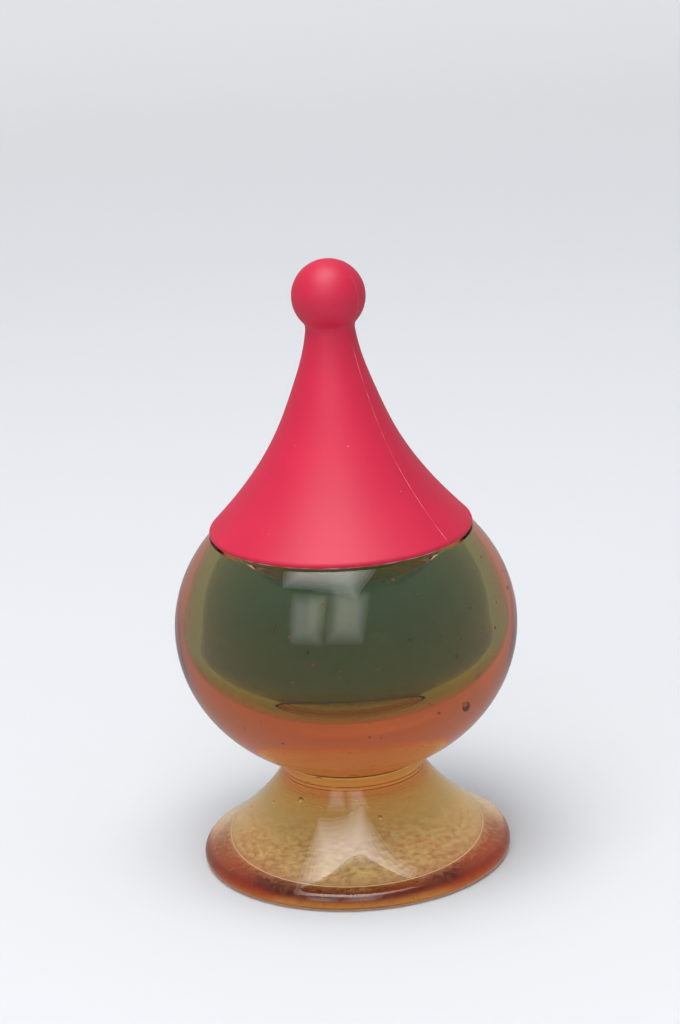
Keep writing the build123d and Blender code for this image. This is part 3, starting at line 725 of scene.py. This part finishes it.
SHEETS, SHEET_STEP, SHEET_GAP = 6, 0.1, 0.004


def fading_light(name, place_at, aim, size, power):
    """A lamp made of a stack of sheets of falling size, so that its edges fade in reflections."""
    shares = [1 - SHEET_STEP * i for i in range(SHEETS)]
    whole = sum(share**2 for share in shares)
    toward = (Vector(aim) - Vector(place_at)).normalized() * SHEET_GAP
    for i, share in enumerate(shares):
        sheet_size = tuple(side * share for side in size)
        area_light(f"{name}_{i}", Vector(place_at) + toward * i, aim, sheet_size, power * share**2 / whole)


# a window of two panes in front, to the left, and the sky over the object
for side in (-1, 1):
    across = side * 0.25
    fading_light(f"window_{side}", (across - 0.22, -0.82, 0.60), (across, 0, 0.05), (0.46, 0.80), 1.35)
fading_light("sky", (-0.12, -0.25, 1.4), (0, 0, 0.05), (1.3, 1.3), 19)

# ---- Cap ------------------------------------------------------------------------------------
RIM_RADIUS, RIM_EDGE, RIM_ANGLE = 23.6, 0.7, 46.0
KNOB = 6.55  # radius of the ball
KNOB_ROOT = 4.745  # radius where the fillet under the ball meets it
TIP = 95.0  # the hollow ends below this height
RIM_STEPS = 10
LIP_TOP = 1.2  # the rim's rounding ends below this height over the rim
RIM_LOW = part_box("cap_shell")[0].z / MM
CAP_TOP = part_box("cap_shell")[1].z / MM
KNOB_Z = CAP_TOP - KNOB


def fair_wall(node, outward, low, high, steps=72):
    """A smooth curve through the CAD node's own points on its outer or inner wall between two levels."""
    rows = []
    for vertex in nodes[node].data.vertices:
        x, y, z = (c / MM for c in vertex.co)
        r = math.hypot(x, y)
        facing = (vertex.normal.x * x + vertex.normal.y * y) / max(r, 1e-6)
        if low <= z <= high and (facing > 0.3 if outward else facing < -0.3):
            rows.append((z, r))
    heights, radii = np.array(sorted(rows)).T
    curve = np.polynomial.Polynomial.fit(heights, radii, 8)
    levels = np.linspace(heights[0], heights[-1], steps)
    return [(float(curve(z)), float(z)) for z in levels]


def blend_arc(a, a_way, b, b_way, steps=8):
    """A near-circular arc between two points, along a given direction at each."""
    angle = math.acos(max(-1, min(1, a_way[0] * b_way[0] + a_way[1] * b_way[1])))
    reach = 4 / 3 * math.tan(angle / 4) * math.dist(a, b) / (2 * math.sin(angle / 2))
    out = (a[0] + a_way[0] * reach, a[1] + a_way[1] * reach)
    back = (b[0] - b_way[0] * reach, b[1] - b_way[1] * reach)
    return bezier(a, out, back, b, steps)


def cap_outline():
    """The cap's half section: rim, outer wall, fillet, ball, then the hollow from the top down."""
    rim_centre = (RIM_RADIUS - RIM_EDGE, RIM_LOW + RIM_EDGE)
    rim = arc(rim_centre, RIM_EDGE, -90, 180 - RIM_ANGLE, RIM_STEPS)
    outer = fair_wall("cap_shell", True, rim[-1][1] + 0.2, CAP_TOP - 2 * KNOB + 0.9)
    run = (outer[-1][0] - outer[-2][0], outer[-1][1] - outer[-2][1])
    length = math.hypot(*run)
    knob_low = -math.degrees(math.acos(KNOB_ROOT / KNOB))
    knob = arc((0, KNOB_Z), KNOB, knob_low, 90 - knob_low, 48)
    start = math.radians(knob_low)
    fillet = blend_arc(
        outer[-1], (run[0] / length, run[1] / length), knob[0], (-math.sin(start), math.cos(start))
    )
    inner = fair_wall("cap_shell", False, RIM_LOW + LIP_TOP, TIP)
    core = max(p.co.z for p in nodes["cap_shell"].data.vertices if p.normal.z < -0.9) / MM
    inner = [p for p in inner if p[1] < core]
    slope = (inner[1][0] - inner[0][0]) / (inner[1][1] - inner[0][1])
    foot = (inner[0][0] + slope * (RIM_LOW - inner[0][1]), RIM_LOW)
    inner.append((inner[-1][0] - 0.02, core))
    return [foot] + rim + outer + fillet + knob + [(0, core)] + inner[::-1]


def add_seam(piece, outline, angle, half_width=0.08, height=0.035, sunk=0.12):
    """A fine parting line: a low ridge along the outline at an angle about the axis, sunk into the wall."""
    bm = bmesh.new()
    bm.from_mesh(piece.data)
    rows = []
    for i, (r, z) in enumerate(outline):
        before, after = outline[max(i - 1, 0)], outline[min(i + 1, len(outline) - 1)]
        run, rise = after[0] - before[0], after[1] - before[1]
        length = math.hypot(run, rise)
        out = (rise / length, -run / length)
        row = []
        top = half_width * 0.4
        for across, up in ((-half_width, -sunk), (-top, height), (top, height), (half_width, -sunk)):
            at = r + out[0] * up
            place_at = Matrix.Rotation(angle, 3, "Z") @ Vector((at, across, z + out[1] * up))
            row.append(bm.verts.new(place_at * MM))
        rows.append(row)
    faces = []
    for low, high in zip(rows[:-1], rows[1:]):
        for i in range(4):
            j = (i + 1) % 4
            faces.append(bm.faces.new((low[i], low[j], high[j], high[i])))
    faces += [bm.faces.new(rows[0]), bm.faces.new(rows[-1])]
    bmesh.ops.recalc_face_normals(bm, faces=faces)
    bm.to_mesh(piece.data)
    bm.free()


outline = cap_outline()
cap = lathe("cap_cone", outline, 256, 40)
# the parting lines run from over the rim to the ball, past the outline's foot and rim points
seam_path = [p for p in outline[RIM_STEPS + 2 : -1] if p[1] > RIM_LOW + LIP_TOP]
seam_path = seam_path[: next(i for i, p in enumerate(seam_path) if p[1] > KNOB_Z - KNOB * 0.8)]
for angle in SEAM_ANGLES:
    add_seam(cap, seam_path, angle)
place(cap, "cap", "crimson_plastic", CRIMSON, "cap_shell")


# ---- Springs --------------------------------------------------------------------------------
def coil(name, radius, wire, turns, low, high, per_turn=40, around=14):
    """An open coil between two heights, its ends capped. All in mm."""
    bm = bmesh.new()
    rise = high - low - wire
    steps = int(turns * per_turn)
    rings = []
    for i in range(steps + 1):
        a = 2 * math.pi * turns * i / steps
        centre = Vector((radius * math.cos(a), radius * math.sin(a), low + wire / 2 + rise * i / steps))
        out = Vector((math.cos(a), math.sin(a), 0))
        way = Vector((-math.sin(a) * radius, math.cos(a) * radius, rise / (2 * math.pi * turns))).normalized()
        up = out.cross(way)
        ring = []
        for k in range(around):
            b = 2 * math.pi * k / around
            ring.append(bm.verts.new((centre + (out * math.cos(b) + up * math.sin(b)) * wire / 2) * MM))
        rings.append(ring)
    for first, second in zip(rings[:-1], rings[1:]):
        for k in range(around):
            m = (k + 1) % around
            bm.faces.new((first[k], first[m], second[m], second[k])).smooth = True
    bm.faces.new(rings[0])
    bm.faces.new(rings[-1])
    bmesh.ops.recalc_face_normals(bm, faces=bm.faces)
    return piece_from(name, bm)


def spring(node, wire, turns, body):
    """A spring in its CAD node's room."""
    low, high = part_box(node)
    low_z, high_z = low.z / MM, high.z / MM
    radius = (high.x - low.x) / 2 / MM - wire / 2
    piece = coil(f"{node}_coil", radius, wire, turns, low_z, high_z)
    place(piece, body, "spring_steel", STEEL, node)
    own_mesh(piece)


spring("return_spring", 0.32, 6.0, "bottle_unit")
spring("piston_spring", 0.25, 3.0, "stem_unit")
